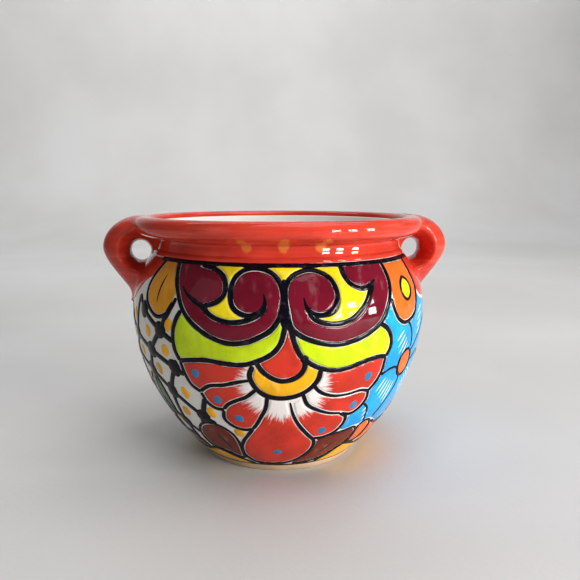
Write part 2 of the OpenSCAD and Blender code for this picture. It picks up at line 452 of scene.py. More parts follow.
class Value:
    """A shader socket that Python's operators can work on."""

    def __init__(self, shader, socket):
        self.shader, self.socket = shader, socket

    def __add__(self, other):
        return self.shader.math("ADD", self, other)

    def __radd__(self, other):
        return self.shader.math("ADD", other, self)

    def __sub__(self, other):
        return self.shader.math("SUBTRACT", self, other)

    def __rsub__(self, other):
        return self.shader.math("SUBTRACT", other, self)

    def __mul__(self, other):
        return self.shader.math("MULTIPLY", self, other)

    def __rmul__(self, other):
        return self.shader.math("MULTIPLY", other, self)

    def __truediv__(self, other):
        return self.shader.math("DIVIDE", self, other)

    def __rtruediv__(self, other):
        return self.shader.math("DIVIDE", other, self)


class Shader:
    """Builds one material from nodes."""

    def __init__(self, name):
        self.material = bpy.data.materials.new(name)
        self.material.use_nodes = True
        self.tree = self.material.node_tree
        self.tree.nodes.clear()

    def math(self, operation, first, second=0.0):
        return self.add("ShaderNodeMath", {"operation": operation}, {0: first, 1: second})

    def add(self, kind, settings=None, inputs=None, output=0):
        """Adds a node: its settings first, then the values or links of its sockets."""
        node = self.tree.nodes.new(kind)
        for key, value in (settings or {}).items():
            if key == "stops":
                ramp = node.color_ramp.elements
                while len(ramp) < len(value):
                    ramp.new(0.5)
                for element, (position, colour) in zip(ramp, value):
                    element.position = position
                    element.color = (*colour, 1)
            else:
                setattr(node, key, value)
        for key, value in (inputs or {}).items():
            if isinstance(value, Value):
                self.tree.links.new(value.socket, node.inputs[key])
            elif isinstance(value, (tuple, list)) and len(value) == 3 and node.inputs[key].type == "RGBA":
                node.inputs[key].default_value = (*value, 1)
            else:
                node.inputs[key].default_value = value
        return Value(self, node.outputs[output]) if len(node.outputs) else None

    def blend(self, share, first, second):
        """A colour between two others."""
        return self.add("ShaderNodeMix", {"data_type": "RGBA"}, {0: share, 6: first, 7: second}, 2)

    def step(self, value, low, high):
        """0 below low, 1 above high, and smooth between."""
        return self.add("ShaderNodeMapRange", {"interpolation_type": "SMOOTHSTEP"},
                        {0: value, 1: low, 2: high})

    def place(self):
        return self.add("ShaderNodeTexCoord", output=3)

    def noise(self, where, scale, detail=3.0, stretch=(1, 1, 1)):
        """Noise over a place, in lumps of about one over scale metres."""
        spot = self.add("ShaderNodeVectorMath", {"operation": "MULTIPLY"}, {0: where, 1: stretch})
        return self.add("ShaderNodeTexNoise", None, {"Vector": spot, "Scale": scale, "Detail": detail})

    def split(self, vector, axis):
        return self.add("ShaderNodeSeparateXYZ", None, {0: vector}, axis)

    def finish(self, colour, rough, bumps, coat=0.0):
        """Joins up the surface: bumps is a list of heights, each with its depth in metres."""
        normal = None
        for height, depth in bumps:
            sockets = {"Height": height, "Distance": depth, "Strength": 1.0}
            if normal:
                sockets["Normal"] = normal
            normal = self.add("ShaderNodeBump", None, sockets)
        sockets = {"Base Color": colour, "Roughness": rough, "Specular IOR Level": 0.04 if coat else 0.3,
                   "Coat Weight": coat, "Coat Roughness": 0.03, "Coat IOR": 1.5}
        if normal:
            sockets["Normal"] = normal
        surface = self.add("ShaderNodeBsdfPrincipled", None, sockets)
        self.add("ShaderNodeOutputMaterial", None, {0: surface})
        return self.material


# Depths of a glaze's orange-peel skin, its pools and its pinholes, in metres
PEEL = 0.00004
POOL = 0.00012
PIT = 0.00002


def pinholes(s, shade, gloss, share, dark, low=0.74):
    """A glaze's colour and roughness with its pinholes in, and where they are."""
    pits = s.step(s.noise(s.place(), 2600, 1), low, 0.8)
    rough = gloss + s.noise(s.place(), 240, 3) * 0.05 + pits * 0.25
    return s.blend(pits * share, shade, dark), rough, pits


def glaze(name, colour, deep, light):
    """A brushed glaze: it pools deeper and thins lighter, with streaks, pinholes and an orange-peel skin."""
    s = Shader(name)
    place = s.place()
    streak = 0.5
    stroke = s.add("ShaderNodeAttribute", {"attribute_name": "stroke"}, None, 1)
    pool = s.noise(place, 48, 4)
    brush = s.noise(stroke, 1.1, 3, (0.7, 1.3, 0))
    shade = s.blend(s.step(pool + (brush - 0.5) * streak, 0.34, 0.62), deep, colour)
    shade = s.blend(s.step(brush * 0.7 + s.noise(place, 90, 2) * 0.3, 0.55, 0.72) * streak, shade, light)
    shade, rough, pits = pinholes(s, shade, 0.05, 0.45, (0.02, 0.012, 0.01))
    return s.finish(shade, rough, [(s.noise(place, 420, 2), PEEL), (pool, POOL), (1 - pits, PIT)], 0.38)


def faded_glaze(name, colour, deep, white):
    """A glaze brushed out to white, as far as the stroke's third value says, in streaks along the stroke."""
    s = Shader(name)
    place = s.place()
    streaks, soft = 3.2, 0.22
    stroke = s.add("ShaderNodeAttribute", {"attribute_name": "stroke"}, None, 1)
    hairs = s.noise(stroke, streaks, 4, (0.35, 3.0, 0))
    fine = s.noise(stroke, streaks * 3.4, 3, (0.3, 3.0, 0))
    pool = s.noise(place, 70, 4)
    ragged = s.split(stroke, 2) + (hairs - 0.5) * 1.25 + (fine - 0.5) * 0.55
    base = s.blend(s.step(pool * 0.7 + fine * 0.3, 0.36, 0.62), deep, colour)
    shade = s.blend(s.step(ragged, 0.5 - soft, 0.5 + soft), base, white)
    shade, rough, pits = pinholes(s, shade, 0.05, 0.4, (0.03, 0.02, 0.02))
    return s.finish(shade, rough, [(s.noise(place, 420, 2), PEEL), (pool, POOL), (1 - pits, PIT)], 0.5)


def turned_red(name, colour, deep, light):
    """The red of the collar and handles, with brush streaks round it and three pale orange painted
    reflections on the throat.
    """
    s = Shader(name)
    place = s.place()
    # Height, vertical size and angular width of the three painted reflections on the throat
    reflection_z, reflection_height, reflection_width = 0.1352, 0.0042, 0.043
    depth = s.math("ABSOLUTE", s.split(place, 1))
    turn = s.math("ARCTAN2", s.split(place, 0), depth)
    rise = (s.split(place, 2) - reflection_z) / reflection_height
    streaks = s.noise(place, 60, 4, (0.35, 0.35, 4.5))
    pool = s.noise(place, 45, 3)
    shade = s.blend(s.step(pool * 0.55 + streaks * 0.45, 0.38, 0.62), deep, colour)
    shade = s.blend(s.step(streaks, 0.56, 0.78) * 0.55, shade, light)
    # Painted reflections: three pale orange patches mixed into the red of the throat
    for middle in (-17.6, -3, 12):
        across = (turn - radians(middle)) / reflection_width
        edge = across * across + rise * rise + (s.noise(place, 500, 2) - 0.5) * 1.4
        shade = s.blend((1 - s.step(edge, 0.4, 1.2)) * 0.45, shade, (0.8, 0.3, 0.05))
    shade, rough, _ = pinholes(s, shade, 0.04, 0.4, (0.05, 0.01, 0.01), 0.75)
    return s.finish(shade, rough, [(s.noise(place, 380, 2), PEEL), (pool, 0.0002), (streaks, PEEL)], 0.5)


def black_line(name, colour):
    """Trailed black glaze: thick, glossy, with a brown edge where it runs thin."""
    s = Shader(name)
    place = s.place()
    run = s.noise(place, 300, 3)
    shade = s.blend(s.step(run, 0.55, 0.8), colour, (0.03, 0.022, 0.035))
    rough = 0.06 + s.noise(place, 700, 2) * 0.1
    return s.finish(shade, rough, [(run, 0.00008), (s.noise(place, 1400, 2), 0.00002)], 0.22)


def white_ground(name, colour, clay):
    """White tin glaze on clay: creamy where it thins, speckled, and bare at the foot."""
    s = Shader(name)
    place = s.place()
    cloud = s.noise(place, 30, 4)
    shade = s.blend(s.step(cloud, 0.35, 0.7), [c * f for c, f in zip(colour, (0.93, 0.9, 0.86))], colour)
    specks = s.step(s.noise(place, 1500, 2), 0.7, 0.76)
    shade = s.blend(specks * 0.45, shade, (0.25, 0.16, 0.1))
    height = s.split(place, 2)
    bare = 1 - s.step(height + (s.noise(place, 110, 3) - 0.5) * 0.0012, 0.0048, 0.0056)
    shade = s.blend(bare, shade, clay)
    rough = 0.05 + s.noise(place, 200, 3) * 0.06 + bare * 0.5
    return s.finish(shade, rough, [(s.noise(place, 420, 2), 0.00004), (cloud, 0.0002)], 0.3)


def fired_clay(name, colour):
    """Bare fired clay: matt, gritty, with lighter and darker grains."""
    s = Shader(name)
    place = s.place()
    grit = s.noise(place, 1800, 3)
    cloud = s.noise(place, 60, 4)
    shade = s.blend(s.step(cloud, 0.3, 0.7), [c * 0.8 for c in colour], colour)
    shade = s.blend(s.step(grit, 0.6, 0.72) * 0.5, shade, (0.35, 0.2, 0.1))
    return s.finish(shade, 0.72 + grit * 0.2, [(grit, 0.00015), (cloud, 0.0003)])


# ---------------------------------------------------------------- the painter's lines

# Each line is a smooth curve through angle, height and, where it swells or thins, a share of its width
LINES = {
    "left_scroll": [
        (-47.5, 125), (-44, 115.5), (-41.5, 109), (-39, 102.5), (-36, 97.5), (-32, 93), (-27.5, 89.5),
        (-21.5, 87), (-15.5, 88), (-11, 91), (-7.5, 94.5), (-5, 100), (-3.8, 106), (-3.6, 112), (-4.8, 118),
        (-7.5, 122), (-12.5, 124), (-17.5, 123), (-20.3, 119.5), (-21.2, 112.5), (-20, 105.5),
        (-17.5, 102.5), (-14.5, 101.5), (-11.5, 102.5, 1.2), (-9.8, 105, 1.2), (-9.4, 108.5, 0.8),
        (-10, 112.5, 0.35)],
    "left_crescent": [
        (-10, 104, 1.2), (-12.5, 101), (-16, 98.8), (-20, 97.8), (-24, 98.5), (-28, 101),
        (-30.5, 104.5, 1.15), (-34, 107, 1.1), (-38, 110.5, 0.7), (-40.5, 114, 0.35)],
    "left_head": [
        (-35, 124.8), (-28.5, 122.8), (-25, 120), (-23.3, 115.5), (-23.5, 111), (-26, 107.3), (-30.5, 105)],
    "right_scroll": [
        (39.5, 125), (39.3, 117), (38, 110), (35.5, 102.5), (31.5, 94.5), (26.5, 90), (20.5, 87),
        (14, 85.8), (8, 87.5), (2.5, 91), (-0.8, 95.5), (-2.2, 103), (-2.8, 110), (-2.3, 116.5), (0, 120.5),
        (5.5, 123.2), (10, 122), (13.5, 118.5), (15, 112), (14.3, 106, 1.25), (12.8, 103.2, 1.35),
        (10, 101.5), (7, 101.7), (5, 103.5, 1.1), (3.8, 106.5, 0.75), (3.2, 110.5, 0.35)],
    "right_crescent": [
        (4.8, 103.5, 1.1), (6.3, 100), (9.5, 97.5), (14.5, 96.6), (19, 98), (23, 102), (26, 106.5),
        (28.5, 111.5, 1.3), (31.7, 116.8, 0.35)],
    "right_head": [(18.8, 124.8), (19, 120), (21, 115.5), (25, 113), (28.5, 114), (31.7, 116.8, 0.5)],
    "wedge": [(-3.1, 119, 0.5), (-3.2, 112, 0.6), (-3.2, 104, 0.8), (-2.9, 98.5, 1), (-2.5, 95, 0.8)],
    "left_leaf": [(-39.5, 101.5), (-41.8, 96), (-43.3, 88.5), (-43.1, 80), (-41.2, 74)],
    "left_leaf_low": [
        (-41.2, 74), (-36, 75.5), (-30, 76.7), (-23, 76), (-17, 75.9), (-11.5, 78.5), (-7, 82.5),
        (-4.5, 87.5), (-3.4, 93), (-2.8, 98)],
    "right_leaf": [(31.2, 94.2), (34.5, 91), (37, 85.5), (37.3, 80), (35.4, 74.8)],
    "right_leaf_low": [
        (35.4, 74.8), (31.3, 75.6), (25, 74.5), (18, 72.1), (13, 72), (8.5, 74), (5, 77), (3.2, 79.5)],
    "drop": [
        (-2.3, 98), (-1, 94), (0, 88), (1.7, 82), (3.3, 78.5), (3.4, 74.5), (1.8, 70.5), (-1, 68),
        (-4.3, 67.4), (-7.5, 69.3), (-10.3, 72.8), (-12.3, 77.5)],
    "crescent": [
        (-13.5, 75.6), (-14.7, 70), (-13, 63.5), (-9.5, 58.8), (-4.5, 57.2), (1, 58.4), (5.5, 62.2),
        (8.3, 67.5), (9, 73)],
    "petal_1_low": [(-14.6, 67.5, 0.6), (-19, 66), (-24.5, 63.5), (-30, 62), (-34.3, 58)],
    "petal_1_tip": [(-34.3, 57.5), (-37.8, 60.5), (-39.8, 66), (-41.2, 74)],
    "petal_2_low": [(-13, 62), (-16.5, 57.5), (-20.5, 54.7), (-24, 51.7), (-26, 48.5)],
    "petal_2_tip": [(-26, 48), (-29.5, 48.2), (-32.5, 51), (-34.3, 57)],
    "petal_3_right": [(-9, 58), (-9.8, 51), (-11.8, 45), (-14, 39.5), (-15.6, 36.5)],
    "petal_3_tip": [(-15.6, 36.3), (-19.5, 35.3), (-24, 37), (-27, 41.5), (-26.3, 47.5)],
    "petal_4": [
        (-1, 54.5, 0.4), (0.5, 46, 0.8), (3.3, 38.5), (7.5, 31.5), (11, 26.5), (11.7, 21.5), (9.5, 15.5),
        (5.5, 11), (0, 8), (-7, 7), (-15, 7), (-20.5, 9), (-23.8, 13.5), (-24, 19), (-21.5, 26),
        (-18.3, 31.5), (-15.6, 36.3)],
    "petal_5_top": [(3.3, 59.5), (5.5, 52.5), (9.5, 48.7), (14.5, 45.8, 0.8), (19.5, 44.5, 0.7)],
    "petal_5_tip": [(19.5, 44.3), (22.6, 41.5), (22.8, 36.5), (20, 31), (15, 28.5), (10.2, 28.3)],
    "petal_6_top": [(7, 64), (9.5, 60), (14, 57, 0.9), (20, 56.4, 0.7), (26, 57.4, 0.8), (30, 56)],
    "petal_6_tip": [(30, 56), (30.3, 50.5), (28, 45.3), (24.5, 42.8), (19.8, 44.2)],
    "petal_7_tip": [(30, 56), (33, 61), (34.7, 67), (35.2, 74.8)],
    "brown_left": [
        (-25.2, 10.5), (-24.5, 18), (-24.4, 26), (-26.5, 32), (-31, 35.7), (-36.5, 36.2), (-41.5, 33.5),
        (-45.5, 27), (-45.5, 19.5), (-42, 15.5), (-36, 15), (-30, 12), (-25.2, 10.5)],
    "brown_right": [
        (12.5, 27), (18, 29), (25, 30.3), (31, 31), (33.8, 26.5), (33, 21.5), (29, 16), (24, 12), (18, 8.6),
        (11, 7), (3, 7)],
    "orange_leaf": [
        (34, 31.5), (37, 33.5), (40.5, 32.5), (43, 28.5), (42.5, 21), (39, 17.5), (34.5, 18.5), (33.2, 24),
        (34, 31.5)],
    "left_strip": [
        (-90, 13), (-76, 10), (-66, 11.5), (-58, 10), (-50, 11.5), (-43.8, 14.3), (-37, 13.5), (-31, 10.5),
        (-25, 8), (-20, 5.6)],
    "right_strip": [
        (18, 6), (24, 10.5), (31, 17.5), (36, 16.5), (43, 14), (52, 13), (64, 17), (76, 14), (90, 15)],
    "far_leaf": [
        (-48, 12), (-50, 18), (-56, 22.5), (-63, 22), (-70, 17.5), (-72, 12), (-66, 11.5), (-58, 10),
        (-48, 12)],
    "green_leaf": [
        (-57, 34), (-57.2, 45), (-59.5, 56), (-64, 60), (-69, 52), (-71, 42), (-66, 34), (-57, 34)],
    "ochre_petal": [
        (-42.3, 107.5), (-44, 102.5), (-48, 97.3), (-52.3, 96), (-56.5, 99), (-59.8, 104.5), (-60.4, 112),
        (-58.8, 119), (-56.8, 125)],
    "orange_petal": [
        (37.7, 106), (39, 99.5), (41.5, 94), (45.5, 91.2), (50, 92), (54, 95), (56, 101), (57.6, 108.5),
        (57.6, 117), (58.5, 125)],
    "eye_ring": [
        (48.3, 116), (45.6, 113), (44.6, 109), (45.9, 105), (48.3, 103.4), (50.8, 105.5), (52, 109.7),
        (50.9, 113.8), (48.3, 116)],
    "oval_ring": [
        (49.5, 75), (46, 72.5), (44.6, 67), (46, 61), (49.5, 59), (52.8, 61.5), (54, 67), (52.8, 73),
        (49.5, 75)],
    "left_patch": [
        (-57.3, 125), (-57.8, 121), (-60.5, 116.5), (-65.5, 112), (-72, 104), (-80, 98), (-90, 95.5)],
    "right_patch": [(58.5, 125), (58.4, 116), (58.2, 108), (63, 102.5), (72, 100.5), (82, 97.5), (90, 96)],
    "blue_petal": [
        (35, 64), (38.5, 66), (43, 66), (47, 61.5), (48.3, 55), (46.5, 48), (43.5, 40), (41, 35)],
    "blue_fold": [(30.4, 47.5), (33, 44), (34.3, 38.5), (35.3, 34)],
    "blue_rib": [(48.3, 91), (50.8, 86.5), (52.4, 81), (52.7, 75)],
    "blue_tendril": [(64, 83.5), (57.7, 76.7), (54, 72.5)],
    "side_petal": [(56, 66), (62, 69.5), (68, 67), (72, 59), (71.5, 48), (67, 37), (60, 30)],
    "side_rib": [(72, 59), (78, 66), (90, 69)],
    "side_loop": [(64, 83.5), (70, 88), (78, 87), (82, 80), (90, 76)],
    "side_hem": [(43, 31), (50, 27), (60, 27.5), (70, 25), (80, 26.5), (90, 25)],
}
RIBS = {
    "ochre_rib": [(-50.6, 118.5, 0.7), (-51.8, 111), (-52.3, 103, 0.6)],
    "brown_left_rib": [(-35.5, 30, 0.5), (-32.5, 25), (-29.2, 17, 0.6)],
    "brown_right_rib": [(15, 14.5, 0.5), (19.5, 18), (23.5, 23.5, 0.6)],
    "far_leaf_rib": [(-52, 17.5, 0.5), (-59, 16), (-67, 15, 0.6)],
}
# The lattice's lines, through its knots
LATTICE = [
    [(-66, 105), (-61.3, 98), (-50.4, 88.7), (-43.6, 84)],
    [(-90, 93), (-80, 89), (-70.8, 82), (-57.9, 75.5), (-45, 68.7), (-40.4, 66)],
    [(-90, 73), (-76, 68.5), (-61.7, 62), (-50.8, 53), (-37.5, 40.5), (-32, 36.5)],
    [(-90, 54), (-76, 49), (-64.5, 41.5), (-53, 31.5), (-46, 26)],
    [(-90, 36), (-78, 30), (-68, 20.5)],
    [(-43.3, 105), (-50.4, 88.7), (-57.9, 75.5), (-61.7, 62), (-64.5, 41.5), (-62, 22.5)],
    [(-43.2, 73.5), (-45, 68.7), (-50.8, 53), (-53, 31.5), (-52, 20)],
    [(-33.5, 53), (-35.8, 46), (-37.5, 40.5), (-40, 35)],
    [(-66, 105), (-70.8, 82), (-76, 68.5), (-76, 49), (-78, 30), (-76, 12)],
    [(-84, 96), (-80, 89), (-90, 73)],
    [(-76, 68.5), (-90, 54)],
    [(-76, 49), (-90, 36)],
]
KNOTS = [(-61.3, 98), (-50.4, 88.7), (-57.9, 75.5), (-45, 68.7), (-61.7, 62), (-50.8, 53),
         (-37.5, 40.5), (-70.8, 82), (-76, 68.5), (-64.5, 41.5), (-53, 31.5), (-76, 49), (-80, 89)]
OCHRE_DOTS = [(-45.6, 92.7), (-59, 86), (-48.5, 77.7), (-55.4, 65), (-42.8, 54.1), (-32.5, 44.3),
              (-22.2, 32.6), (-47.5, 40.5), (-68, 72), (-69, 55), (-82, 79), (-84, 61), (-72, 93),
              (-83, 42), (-70, 31), (-57, 33)]
BLUE_DOTS = [(-34.9, 68.3), (-27.7, 54.1), (-20.5, 43.3), (-5.8, 18.5), (13.3, 34.1), (24.5, 48.7),
             (28.1, 65.3)]
FLOWER = (-3, 66)
# Fans of pale brush strokes on the blue: where they start, where they end, and how many there are
FANS = [
    [(46, 88), (51, 80.5), (40, 80.5), (44.5, 63), 5],
    [(39, 63.5), (45.5, 60.5), (33.6, 51.5), (42, 40), 5],
    [(33, 46.5), (35.5, 41), (30.5, 41), (32.5, 34.5), 3],
    [(55, 92), (57, 80), (64, 98), (62, 85), 4],
    [(50, 56), (53, 63), (62, 34), (66, 52), 6],
    [(84, 98), (72, 90), (86, 90), (90, 84), 4],
    [(76, 62), (84, 66), (76, 34), (90, 46), 6],
]

CURVES = {name: spline([(*p, 1) if len(p) == 2 else p for p in points])
          for name, points in {**LINES, **RIBS}.items()}
WAVER_ROOM = 0.3  # how much nearer its line a coat may come than its gap, since its edge wavers
NECK_LINE = 127  # height at which colours end, under the neck band
PATCH_LINE = 126  # height at which the red under the handles ends
HEM_LINE = 4.6  # height at which colours end, just over the foot ring


def outline(*runs, extra=()):
    """A closed outline from the painter's lines: a whole line's name, or its name, first and last point."""
    parts = []
    for run in runs:
        name, first, last = (run, 0, -1) if isinstance(run, str) else run
        curve = CURVES[name][:, :2]
        if last < 0:
            parts.append(curve)
        elif first <= last:
            parts.append(curve[first * STEPS:last * STEPS + 1])
        else:
            parts.append(curve[last * STEPS:first * STEPS + 1][::-1])
    if len(extra):
        parts.append(np.array(extra, float))
    return to_arc(np.vstack(parts))


def turned_back(points):
    """The same painting on the back of the pot."""
    out = np.array(points, float)
    out[:, 0] = 180 - out[:, 0]
    return out


def across_side(points):
    """Closes a front outline that starts and ends at a handle with its mirror image behind it."""
    behind = points[::-1].copy()
    behind[:, 0] = np.sign(points[:, 0].mean()) * 180 - behind[:, 0]
    return np.vstack([points, behind])


# ---------------------------------------------------------------- sizes and colours

def colour(label, value):
    return FloatVectorProperty(name=label, description=f"Colour of the {label.lower()}", default=value,
                               size=3, min=0, max=1, subtype="COLOR")


def length(label, description, value):
    return FloatProperty(name=label, description=description, default=value * MM, min=0,
                         unit="LENGTH", subtype="DISTANCE")


class VaseSizes(bpy.types.PropertyGroup):
    line_width: length("Line width", "Width of the thick trailed lines", 2.8)
    fine_width: length("Fine line width", "Width of the thin trailed lines and leaf ribs", 2.0)
    line_height: length("Line height", "Height that the trailed lines stand proud", 0.5)
    coat: length("Coat", "Thickness of a painted colour", 0.26)
    gap: length("Gap", "White left between a colour and the line round it", 0.34)
    dot: length("Dot", "Width of a painted dot", 5.8)
    sides: IntProperty(name="Sides", description="Steps round the pot", default=320, min=32)


class VaseColours(bpy.types.PropertyGroup):
    red: colour("Red glaze", (0.68, 0.05, 0.026))
    petal: colour("Petal glaze", (0.64, 0.036, 0.016))
    maroon: colour("Maroon glaze", (0.17, 0.006, 0.02))
    yellow: colour("Yellow glaze", (0.96, 0.76, 0.015))
    amber: colour("Amber glaze", (0.96, 0.47, 0.01))
    ochre: colour("Ochre glaze", (0.78, 0.32, 0.02))
    lime: colour("Lime glaze", (0.6, 0.78, 0.006))
    blue: colour("Blue glaze", (0.01, 0.36, 0.78))
    dot_blue: colour("Dot glaze", (0.03, 0.2, 0.42))
    orange: colour("Orange glaze", (0.84, 0.15, 0.018))
    brown: colour("Brown glaze", (0.17, 0.018, 0.006))
    green: colour("Leaf green glaze", (0.05, 0.13, 0.008))
    black: colour("Black line glaze", (0.003, 0.003, 0.006))
    white: colour("White glaze", (0.8, 0.78, 0.75))
    pale: colour("Pale brush glaze", (0.62, 0.8, 0.88))
    clay: colour("Bare clay", (0.6, 0.42, 0.27))


def shades(base, darker=0.78, paler=0.15):
    """A colour with the deep shade it pools to and the pale one it thins to."""
    deep = [c * darker for c in base]
    light = [c + (0.85 - c) * paler for c in base]
    return base, deep, light


def finish_for(key):
    """The material of one glaze, made once. The frame's own materials keep their names."""
    name = f"painted_{key}"
    if name in bpy.data.materials:
        return bpy.data.materials[name]
    tints = bpy.context.scene.vase_colours
    if key == "red":
        return turned_red(name, *shades(list(tints.red), 0.72, 0.1))
    if key == "black":
        return black_line(name, list(tints.black))
    if key == "white":
        return white_ground(name, list(tints.white), list(tints.clay))
    if key == "clay":
        return fired_clay(name, list(tints.clay))
    if key == "petal":
        return faded_glaze(name, list(tints.petal), [c * 0.72 for c in tints.petal], (0.8, 0.74, 0.72))
    if key == "drop":
        return glaze(name, *shades(list(tints.petal), 0.72, 0.12))
    return glaze(name, *shades(list(getattr(tints, key))))


def fade_of(where, key):
    """Where each point of a coat lies along its brush strokes, across them, and how white it is."""
    angle, arc = where[:, 0].copy(), where[:, 1]
    back = np.abs(angle) > 90
    angle[back] = np.sign(angle[back]) * 180 - angle[back]
    scale = mm_per_degree(arc)
    if key == "petal":
        centre = to_arc([FLOWER])[0]
        x, y = (angle - centre[0]) * scale, arc - centre[1]
        far = np.hypot(x, y)
        return np.stack([far / 10, np.arctan2(x, -y) * 2.4, 0.5 + (23 - far) / 13], -1)
    return np.stack([arc / 10, angle * scale / 10, np.zeros(len(angle))], -1)


def paint(name, key, shape, seed, inset=None, both=True, step=0.6, uneven=0.22, thick=1.0):
    """Lays a coat on the front, and its mirror image on the back."""
    sizes = bpy.context.scene.vase_sizes
    if inset is None:
        inset = sizes.line_width / MM / 2 + sizes.gap / MM - WAVER_ROOM
    for side in ("front", "back") if both else ("side",):
        at = turned_back(shape) if side == "back" else shape
        points, faces, where = coat_mesh(at, inset, sizes.coat / MM * thick, seed, step, uneven)
        label = name if side == "side" else f"{side}_{name}"
        make_mesh(label, points, faces, key, fade_of(where, key))


def fill_side(name, key, front, seed, inset=None, step=0.6):
    """Lays one coat round a side, under the handle, from the outline of its front half."""
    paint(name, key, across_side(front), seed, inset, both=False, step=step)


def lay(name, key, paths, make_part):
    """Makes a group of small parts as one piece on the front, and its mirror image on the back."""
    for side in ("front", "back"):
        turn = turned_back if side == "back" else np.array
        points, faces = merge([make_part(turn(path), seed) for seed, path in paths])
        make_mesh(f"{side}_{name}", points, faces, key, None if key == "black" else points * 100)


def on_pot(path):
    """Turns a path's heights into distances up the profile, and keeps its width shares."""
    path = path.copy()
    path[:, :2] = to_arc(path[:, :2])
    return path


def trail(name, lines, width=None, height=None):
    """Trails a group of black lines."""
    sizes = bpy.context.scene.vase_sizes
    width = (width or sizes.line_width) / MM
    height = (height or sizes.line_height) / MM
    curves = [CURVES[line] if isinstance(line, str) else spline([(*p, 1) for p in line]) for line in lines]
    paths = [(number + len(name), on_pot(curve)) for number, curve in enumerate(curves)]
    lay(name, "black", paths, lambda path, seed: bead_mesh(path, width, height, seed))


def brush(name, key, fans, width, height):
    """Lays fans of tapered brush strokes."""
    paths = []
    for number, (first, second, left, right, count) in enumerate(fans):
        for stroke in range(count):
            t = stroke / (count - 1)
            start = np.array(first) * (1 - t) + np.array(second) * t
            end = np.array(left) * (1 - t) + np.array(right) * t
            middle = start * 0.45 + end * 0.55 + [0.5, 0.6]
            path = spline([(*start, 0.25), (*middle, 1), (*end, 0.3)], 12)
            paths.append((10 * number + stroke, on_pot(path)))
    lay(name, key, paths, lambda path, seed: bead_mesh(path, width, height, seed))


def dab(name, key, spots, width, height, lift):
    """Dabs a group of dots."""
    lay(name, key, list(enumerate([spot] for spot in spots)),
        lambda spot, seed: dome_mesh(*spot[0], width / 2, height / 2, lift, seed))


# ---------------------------------------------------------------- operators

class VASE_OT_bowl(bpy.types.Operator):
    """Throws the bowl with its foot ring and the white glaze inside"""
    bl_idname = "vase.bowl"
    bl_label = "Bowl, foot ring and lining"

    def execute(self, context):
        inside = BOWL_INSIDE[::-1]
        bowl = lathe("glazed_bowl", join(np.array([[0, BASE_Z], [20, BASE_Z]]),
                                         np.linspace([20, BASE_Z], [BASE_R, BASE_Z], 6),
                                         BOWL_OUTSIDE, np.array([BOWL_OUTSIDE[-1], inside[0]]),
                                         inside, np.array([inside[-1], [0, FLOOR_Z]])), "white")
        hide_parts("bowl")
        inner, outer, top = BASE_R - 10.75, BASE_R - 1.75, BASE_Z + 0.2
        ring = [[inner, 0.8], [inner + 0.8, 0.1], [inner + 2, 0], [outer - 1.6, 0], [outer - 0.4, 0.25],
                [outer, 0.9], [BASE_R - 0.7, 2.6], [BASE_R - 0.1, BASE_Z - 0.3], [BASE_R - 0.4, top],
                [inner - 2, top]]
        foot = lathe("clay_foot_ring", ring, "clay", wobbled=False)
        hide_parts("foot_ring")
        coat = 0.8
        floor = join(np.array([[0, FLOOR_Z], [FLOOR_R, FLOOR_Z]]), BOWL_INSIDE, THROAT_INSIDE)
        slopes = np.gradient(floor, arc_lengths(floor) + np.arange(len(floor)) * 1e-6, axis=0)
        inner_face = floor + coat * np.stack([-slopes[:, 1], slopes[:, 0]], -1)
        inner_face[0] = [0, FLOOR_Z + coat]
        inner_face[-1] = floor[-1] + [-coat, 0.1]
        edge = np.array([floor[-1], floor[-1] + [-0.15, 0.45], inner_face[-1]])
        lining = lathe("glazed_lining", join(floor, edge, inner_face[::-1]), "white")
        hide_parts("lining")
        return {"FINISHED"}


class VASE_OT_collar(bpy.types.Operator):
    """Throws the collar, from the neck to the flared lip, and trails the band under it"""
    bl_idname = "vase.collar"
    bl_label = "Collar and neck band"

    def execute(self, context):
        profile = join(THROAT_OUTSIDE, LIP_ARC, LIP_INSIDE, THROAT_INSIDE[::-1])[:-1]
        collar = lathe("glazed_collar", profile, "red")
        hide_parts("collar")
        # The seam: the collar's glaze stands a little proud of the bowl where it ends
        seam = np.array([[NECK_R - 0.3, NECK_Z - 0.9], [NECK_R + 0.55, NECK_Z - 0.75],
                         [NECK_R + 0.75, NECK_Z - 0.1], [NECK_R + 0.35, NECK_Z + 0.8],
                         [NECK_R - 0.9, NECK_Z + 2.2], [NECK_R - 1.6, NECK_Z + 2.2]])
        lathe("collar_hem", seam, "red")
        # The band breaks off beside the handles, at the front and again at the back
        parts = []
        for number, angles in enumerate([(-61, -30, 0, 30, 69), (111, 150, 180, 210, 241)]):
            path = spline([(a, NECK_Z - 1.8 + 0.25 * sin(a), 1) for a in angles], 40)
            parts.append(bead_mesh(on_pot(path), 2.9, 0.55, number))
        band = make_mesh("black_neck_band", *merge(parts), "black")
        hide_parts("neck_band")
        return {"FINISHED"}


def wall_table():
    """Distance to the pot's outside at every radius and height near a handle, negative in the clay."""
    r, z = np.meshgrid(TABLE_R, TABLE_Z, indexing="ij")
    near = np.full(r.shape, FAR)
    for (r0, z0), (r1, z1) in zip(POT_OUTSIDE[:-1], POT_OUTSIDE[1:]):
        run_r, run_z = r1 - r0, z1 - z0
        t = np.clip(((r - r0) * run_r + (z - z0) * run_z) / max(run_r ** 2 + run_z ** 2, 1e-9), 0, 1)
        near = np.minimum(near, np.hypot(r - r0 - t * run_r, z - z0 - t * run_z))
    above = np.where(r < LIP_R - ROUND, np.abs(z - RIM_Z), FAR)
    near = np.minimum(near, above)
    inside = (r < np.interp(z, POT_OUTSIDE[:, 1], POT_OUTSIDE[:, 0])) & (z < RIM_Z)
    return np.where(inside, -near, near)


TABLE_STEP = 0.25
TABLE_R = np.arange(58, 116, TABLE_STEP)
TABLE_Z = np.arange(84, 158, TABLE_STEP)
WALL_TABLE = wall_table()


